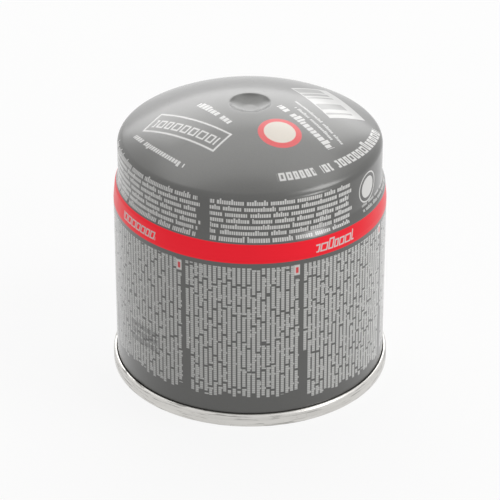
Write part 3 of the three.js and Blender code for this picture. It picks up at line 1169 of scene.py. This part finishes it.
def studio_floor(finishes):
    mesh = bmesh.new()
    bmesh.ops.create_grid(mesh, x_segments=1, y_segments=1, size=FLOOR_REACH)
    bmesh.ops.translate(mesh, verts=mesh.verts, vec=(0.0, 0.0, NODE_LOW.z - FLOOR_DROP))
    data = bpy.data.meshes.new("studio_floor")
    mesh.to_mesh(data)
    mesh.free()
    floor = bpy.data.objects.new("studio_floor", data)
    bpy.context.scene.collection.objects.link(floor)
    data.materials.append(studio_floor_material(finishes))


def studio_world():
    world = bpy.data.worlds.new("studio")
    bpy.context.scene.world = world
    world.use_nodes = True
    world.node_tree.nodes.clear()
    wiring = Wiring(world.node_tree)
    strength = wiring.blend(seen_rays(wiring), 1.0, WORLD_STRENGTH)
    white = (1.0, 1.0, 1.0, 1.0)
    background = wiring.node("ShaderNodeBackground", {"Color": white, "Strength": strength})
    output = wiring.node("ShaderNodeOutputWorld")
    wiring.feed(output.inputs["Surface"], background.outputs["Background"])


def studio_lamps():
    middle = (CAD_LOW + CAD_HIGH) / 2
    for name, lamp in LAMPS.items():
        data = bpy.data.lights.new(name, "AREA")
        data.shape = "RECTANGLE"
        data.size, data.size_y = lamp["size"]
        data.energy = lamp["power"]
        made = bpy.data.objects.new(name, data)
        made.location = lamp["place"]
        made.rotation_euler = (middle - made.location).to_track_quat("-Z", "Y").to_euler()
        bpy.context.scene.collection.objects.link(made)


def studio_camera():
    data = bpy.data.cameras.new("camera")
    data.sensor_width = SENSOR
    data.lens = FOCAL_PIXELS / PHOTO_PIXELS * SENSOR
    camera = bpy.data.objects.new("camera", data)
    camera.location = CAMERA_PLACE
    camera.rotation_euler = (math.radians(90.0 - CAMERA_PITCH), 0.0, 0.0)
    bpy.context.scene.collection.objects.link(camera)
    bpy.context.scene.camera = camera


# Operators, panel and registration


def settings(name):
    return getattr(bpy.context.scene, f"canister_{name}")


class CANISTER_OT_shell(bpy.types.Operator):
    """Makes the drawn shell with its print"""

    bl_idname = "canister.shell"
    bl_label = "Drawn shell"

    def execute(self, context):
        piece = drawn_shell(settings("shell"), settings("detail"))
        piece.data.materials.append(printed_lacquer(node_groups(), settings("finishes")))
        return {"FINISHED"}


class CANISTER_OT_end(bpy.types.Operator):
    """Makes the rolled tinplate end and its seam"""

    bl_idname = "canister.end"
    bl_label = "Rolled end"

    def execute(self, context):
        piece = rolled_end(settings("end"), settings("detail"))
        piece.data.materials.append(bare_tinplate(node_groups(), settings("finishes")))
        return {"FINISHED"}


class CANISTER_OT_bead(bpy.types.Operator):
    """Makes the bead of sealing compound above the seam, a dark piece that also paints the
    crevice's shade
    """

    bl_idname = "canister.bead"
    bl_label = "Sealing bead"

    def execute(self, context):
        piece = compound_and_shade_bead(settings("end"), settings("detail"))
        piece.data.materials.append(compound_and_shade_finish(node_groups(), settings("finishes")))
        return {"FINISHED"}


class CANISTER_OT_stage(bpy.types.Operator):
    """Makes the floor, the lamps, the world and the camera"""

    bl_idname = "canister.stage"
    bl_label = "Studio"

    def execute(self, context):
        context.scene.view_settings.view_transform = "Standard"
        studio_floor(settings("finishes"))
        studio_world()
        studio_lamps()
        studio_camera()
        return {"FINISHED"}


OPERATORS = (CANISTER_OT_shell, CANISTER_OT_end, CANISTER_OT_bead, CANISTER_OT_stage)
GROUPS = {"shell": ShellSizes, "end": EndSizes, "detail": MeshDetail, "finishes": Finishes}


class CANISTER_PT_panel(bpy.types.Panel):
    """Sizes, colours and the steps that make the canister"""

    bl_idname = "CANISTER_PT_panel"
    bl_label = "Fuel canister"
    bl_space_type = "VIEW_3D"
    bl_region_type = "UI"
    bl_category = "Canister"

    def draw(self, context):
        for operator in OPERATORS:
            self.layout.operator(operator.bl_idname)
        for name, group in GROUPS.items():
            box = self.layout.box()
            box.label(text=group.__doc__)
            for value in group.__annotations__:
                box.prop(settings(name), value)


def register():
    for made in (*GROUPS.values(), *OPERATORS, CANISTER_PT_panel):
        bpy.utils.register_class(made)
    for name, group in GROUPS.items():
        pointer = bpy.props.PointerProperty(type=group)
        setattr(bpy.types.Scene, f"canister_{name}", pointer)


def unregister():
    for name in GROUPS:
        delattr(bpy.types.Scene, f"canister_{name}")
    for made in reversed((*GROUPS.values(), *OPERATORS, CANISTER_PT_panel)):
        bpy.utils.unregister_class(made)


def main():
    register()
    bpy.ops.canister.stage()
    bpy.ops.canister.shell()
    bpy.ops.canister.end()
    bpy.ops.canister.bead()


if __name__ == "__main__":
    main()
